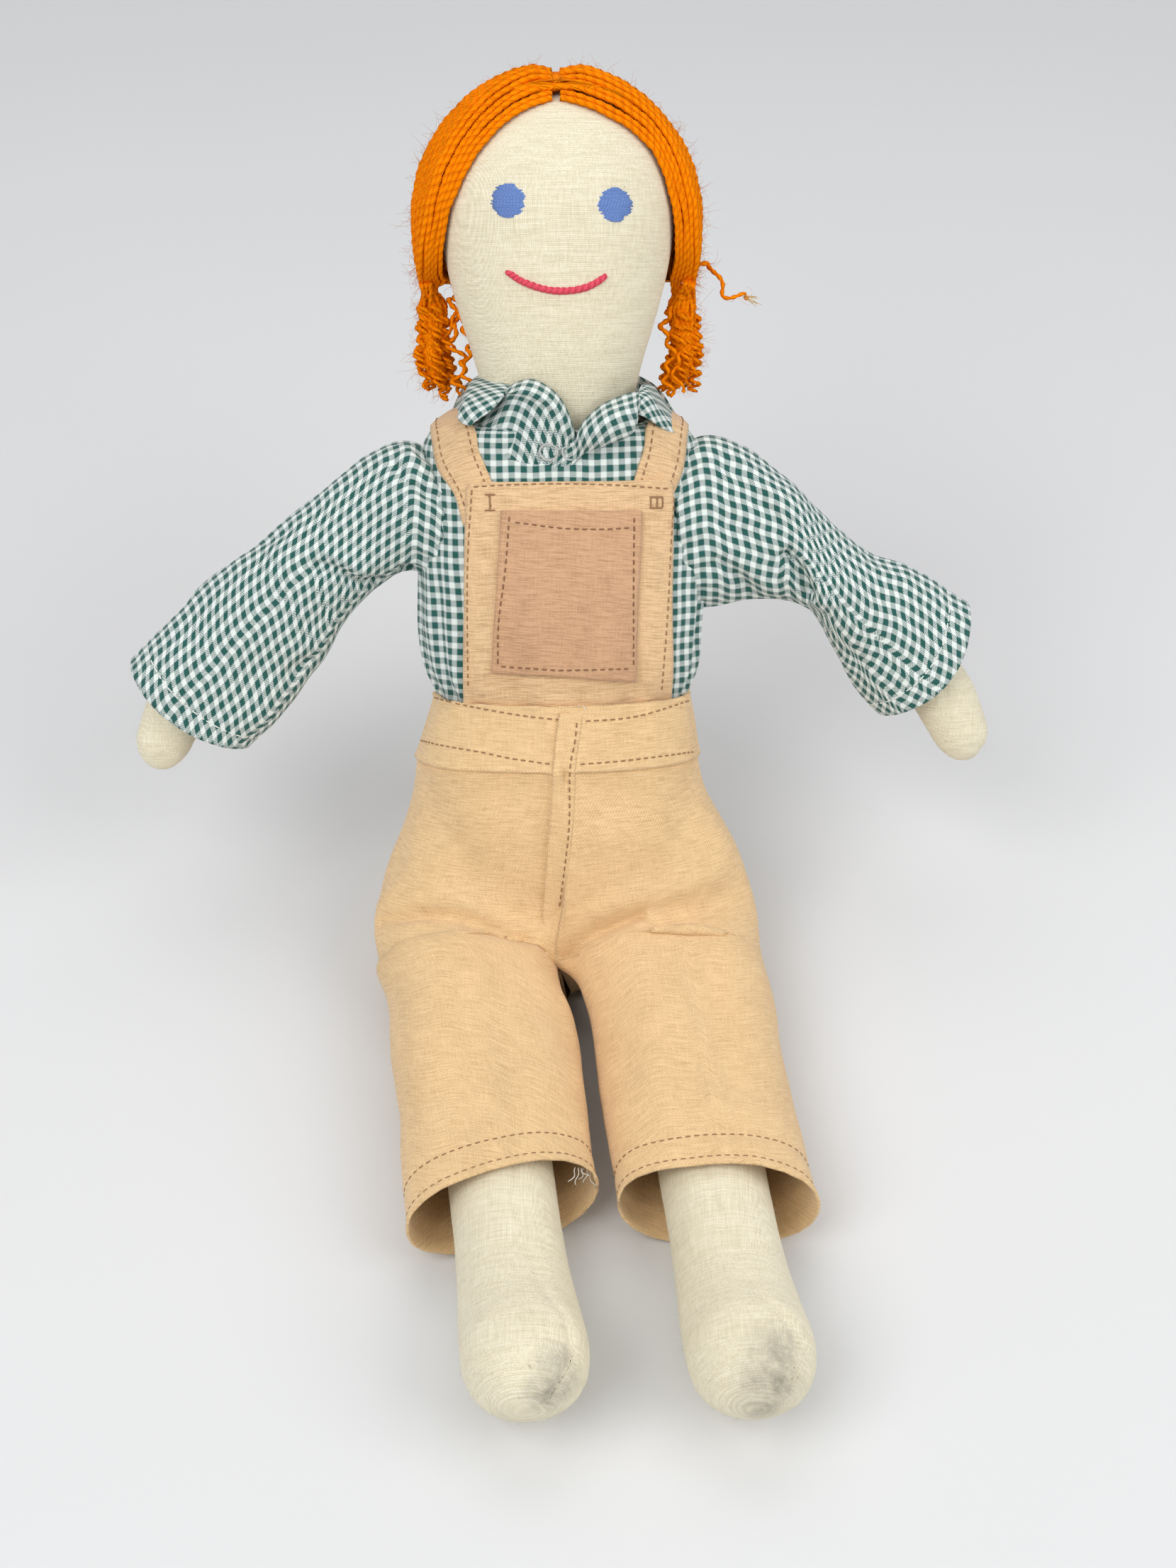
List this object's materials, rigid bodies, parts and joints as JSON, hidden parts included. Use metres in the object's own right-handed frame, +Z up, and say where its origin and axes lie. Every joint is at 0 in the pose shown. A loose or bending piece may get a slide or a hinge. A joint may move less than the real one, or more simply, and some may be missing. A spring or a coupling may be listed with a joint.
{
  "type": "rag doll",
  "caption": "Soft stuffed cloth doll with yarn hair, gingham shirt and bib dungarees, sitting leaned back, its head, arms and legs hinged at their seams.",
  "frame": {"origin": "middle of the flat underside that the doll sits on, below the hip axis, on the floor", "axes": "+Z up, -Y the way the doll faces and its legs point, +X to the right of a viewer who faces it"},
  "size_m": [0.3082, 0.3737, 0.2799],
  "materials": {
    "calico": "unbleached cotton calico, matte",
    "gingham": "dark green and white woven check",
    "twill": "tan cotton twill, topstitched",
    "yarn": "orange plied wool yarn",
    "blue_thread": "satin stitched blue thread",
    "red_thread": "stem stitched red thread",
    "wire": "bent nickelled wire"
  },
  "bodies": {
    "torso": {"body": "calico", "shirt_body": "gingham", "collar": "gingham", "fastener_hook": "wire", "fastener_eye": "wire", "dungarees_seat": "twill", "waistband": "twill", "bib": "twill", "bib_pocket": "twill", "strap_left": "twill", "strap_right": "twill", "fly_facing": "twill"},
    "head": {"head": "calico", "eye_left": "blue_thread", "eye_right": "blue_thread", "mouth": "red_thread", "hair": "yarn", "hair_bunch_left": "yarn", "hair_bunch_right": "yarn", "hair_curl_right": "yarn"},
    "arm_left": {"arm_left": "calico", "sleeve_left": "gingham"},
    "arm_right": {"arm_right": "calico", "sleeve_right": "gingham"},
    "leg_left": {"leg_left": "calico", "trouser_leg_left": "twill"},
    "leg_right": {"leg_right": "calico", "trouser_leg_right": "twill"}
  },
  "joints": [
    {"name": "neck_nod", "type": "hinge", "parent": "torso", "child": "head", "pos_m": [0, 0.083, 0.17376], "axis": [1, 0, 0], "range_deg": [-8, 15], "deforming": ["collar"]},
    {"name": "shoulder_left", "type": "hinge", "parent": "torso", "child": "arm_left", "pos_m": [-0.0555, 0.06975, 0.15081], "axis": [0, 0.866, -0.5], "range_deg": [-20, 60], "deforming": ["shirt_body"]},
    {"name": "shoulder_right", "type": "hinge", "parent": "torso", "child": "arm_right", "pos_m": [0.0555, 0.06975, 0.15081], "axis": [0, -0.866, 0.5], "range_deg": [-20, 60], "deforming": ["shirt_body"]},
    {"name": "hip_left", "type": "hinge", "parent": "torso", "child": "leg_left", "pos_m": [-0.035, -0.004, 0.022], "axis": [-1, 0, 0], "range_deg": [-50, 30], "deforming": ["dungarees_seat", "fly_facing"]},
    {"name": "hip_right", "type": "hinge", "parent": "torso", "child": "leg_right", "pos_m": [0.035, -0.004, 0.022], "axis": [-1, 0, 0], "range_deg": [-50, 30], "deforming": ["dungarees_seat", "fly_facing"]}
  ]
}
